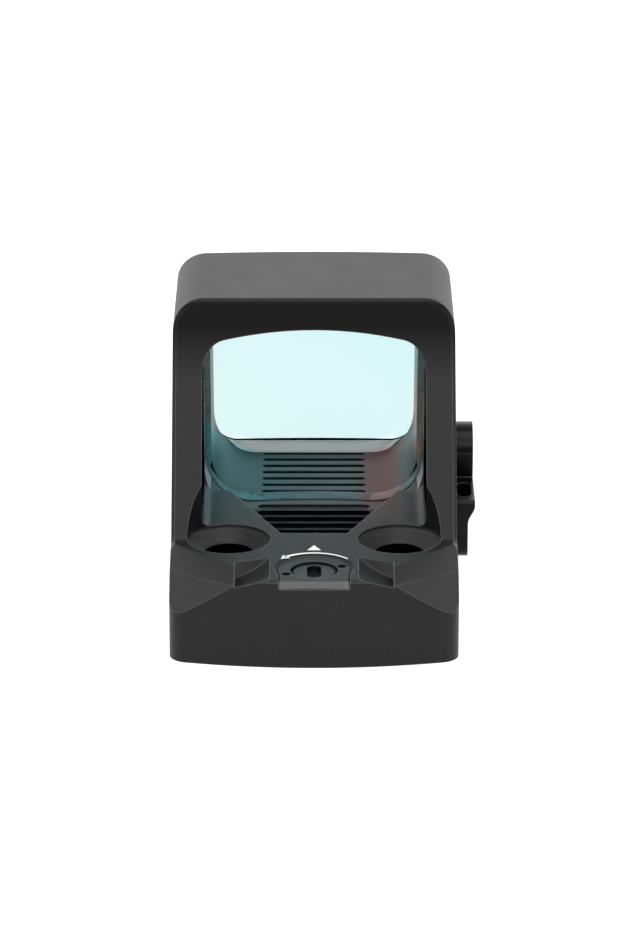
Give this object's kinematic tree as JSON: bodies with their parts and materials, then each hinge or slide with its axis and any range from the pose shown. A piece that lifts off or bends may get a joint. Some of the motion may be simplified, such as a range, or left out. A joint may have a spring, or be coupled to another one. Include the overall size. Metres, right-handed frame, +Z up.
{
  "type": "red dot finder",
  "caption": "Compact open reflex red dot sight with a hooded window, concave lens, adjustable emitter carriage, side battery tray and push buttons.",
  "frame": {"origin": "middle of the flat bottom face of the housing, midway between the rear and front bows", "axes": "+X to the right as the user looks through the window, +Y forward to the target, +Z up"},
  "size_m": [0.0261, 0.0406, 0.0254],
  "materials": {
    "anodised_body": "matte hard-anodised black",
    "anodised_plate": "satin anodised black",
    "anodised_door": "satin anodised black",
    "coated_glass": "dichroic coated, pale cyan in transmission",
    "clear_glass": "polished",
    "sealant": "matte",
    "rubber_seal": "matte",
    "blackened_brass": "blackened",
    "blackened_steel": "black oxide steel",
    "bright_steel": "polished",
    "spring_steel": "drawn wire",
    "brass_block": "machined",
    "circuit_board": "solder mask green",
    "led_body": "moulded",
    "chip_plastic": "moulded",
    "cell_can": "satin",
    "gold_contact": "gold plated",
    "button_rubber": "matte silicone"
  },
  "bodies": {
    "housing_body": {"housing": "anodised_body", "lens_rear_element": "coated_glass", "lens_front_element": "clear_glass", "lens_seal": "sealant", "emitter_window": "clear_glass", "emitter_bezel": "blackened_brass", "elevation_plate": "anodised_plate", "guide_pin_left": "bright_steel", "guide_pin_right": "bright_steel", "elevation_spring": "spring_steel", "main_board": "circuit_board", "controller_chip": "chip_plastic", "contact_negative": "gold_contact", "contact_positive": "gold_contact", "base_cover": "anodised_plate", "base_seal": "rubber_seal", "cover_screw_1": "blackened_steel", "cover_screw_2": "blackened_steel", "cover_screw_3": "blackened_steel", "cover_screw_4": "blackened_steel", "keypad_frame": "anodised_plate", "keypad_board": "circuit_board", "dome_switch_up": "bright_steel", "dome_switch_down": "bright_steel"},
    "elevation_screw_body": {"elevation_screw": "blackened_steel", "elevation_o_ring": "rubber_seal"},
    "lift_slider_body": {"lift_slider": "brass_block"},
    "emitter_block_body": {"emitter_block": "brass_block", "emitter_board": "circuit_board", "emitter_led": "led_body"},
    "windage_screw_body": {"windage_screw": "blackened_steel", "windage_o_ring": "rubber_seal"},
    "windage_nut_body": {"windage_nut": "brass_block"},
    "battery_tray_body": {"battery_tray": "anodised_door", "battery_cell": "cell_can", "battery_cap": "cell_can", "tray_seal": "rubber_seal"},
    "tray_screw_body": {"tray_screw": "blackened_steel"},
    "button_up_body": {"button_up": "button_rubber"},
    "button_down_body": {"button_down": "button_rubber"}
  },
  "joints": [
    {"name": "elevation_turn", "type": "hinge", "parent": "housing_body", "child": "elevation_screw_body", "pos_m": [0, -0.01753, 0.00615], "axis": [0, 0, 1], "range_deg": [-360, 360]},
    {"name": "carriage_lift", "type": "slide", "parent": "housing_body", "child": "lift_slider_body", "axis": [0, 0, 1], "range_m": [-0.00025, 0.00025], "deforming": ["elevation_spring"]},
    {"name": "emitter_shift", "type": "slide", "parent": "lift_slider_body", "child": "emitter_block_body", "axis": [1, 0, 0], "range_m": [-0.00025, 0.00025]},
    {"name": "windage_turn", "type": "hinge", "parent": "housing_body", "child": "windage_screw_body", "pos_m": [0.01015, -0.0138, 0.0032], "axis": [1, 0, 0], "range_deg": [-360, 360]},
    {"name": "windage_nut_travel", "type": "slide", "parent": "housing_body", "child": "windage_nut_body", "axis": [1, 0, 0], "range_m": [-0.00025, 0.00025]},
    {"name": "tray_slide", "type": "slide", "parent": "housing_body", "child": "battery_tray_body", "axis": [1, 0, 0], "range_m": [0, 0.019]},
    {"name": "tray_screw_turn", "type": "hinge", "parent": "battery_tray_body", "child": "tray_screw_body", "pos_m": [0.013, 0.0095, 0.00885], "axis": [1, 0, 0], "continuous": true},
    {"name": "button_up_press", "type": "slide", "parent": "housing_body", "child": "button_up_body", "axis": [1, 0, 0], "range_m": [0, 0.00035], "stiffness_N_per_m": 3000},
    {"name": "button_down_press", "type": "slide", "parent": "housing_body", "child": "button_down_body", "axis": [1, 0, 0], "range_m": [0, 0.00035], "stiffness_N_per_m": 3000}
  ],
  "couplings": [
    {"joint": "elevation_turn", "follows": "carriage_lift", "rad_per_m": 25133},
    {"joint": "windage_turn", "follows": "windage_nut_travel", "rad_per_m": 25133},
    {"joint": "emitter_shift", "follows": "windage_nut_travel", "ratio": 1}
  ]
}
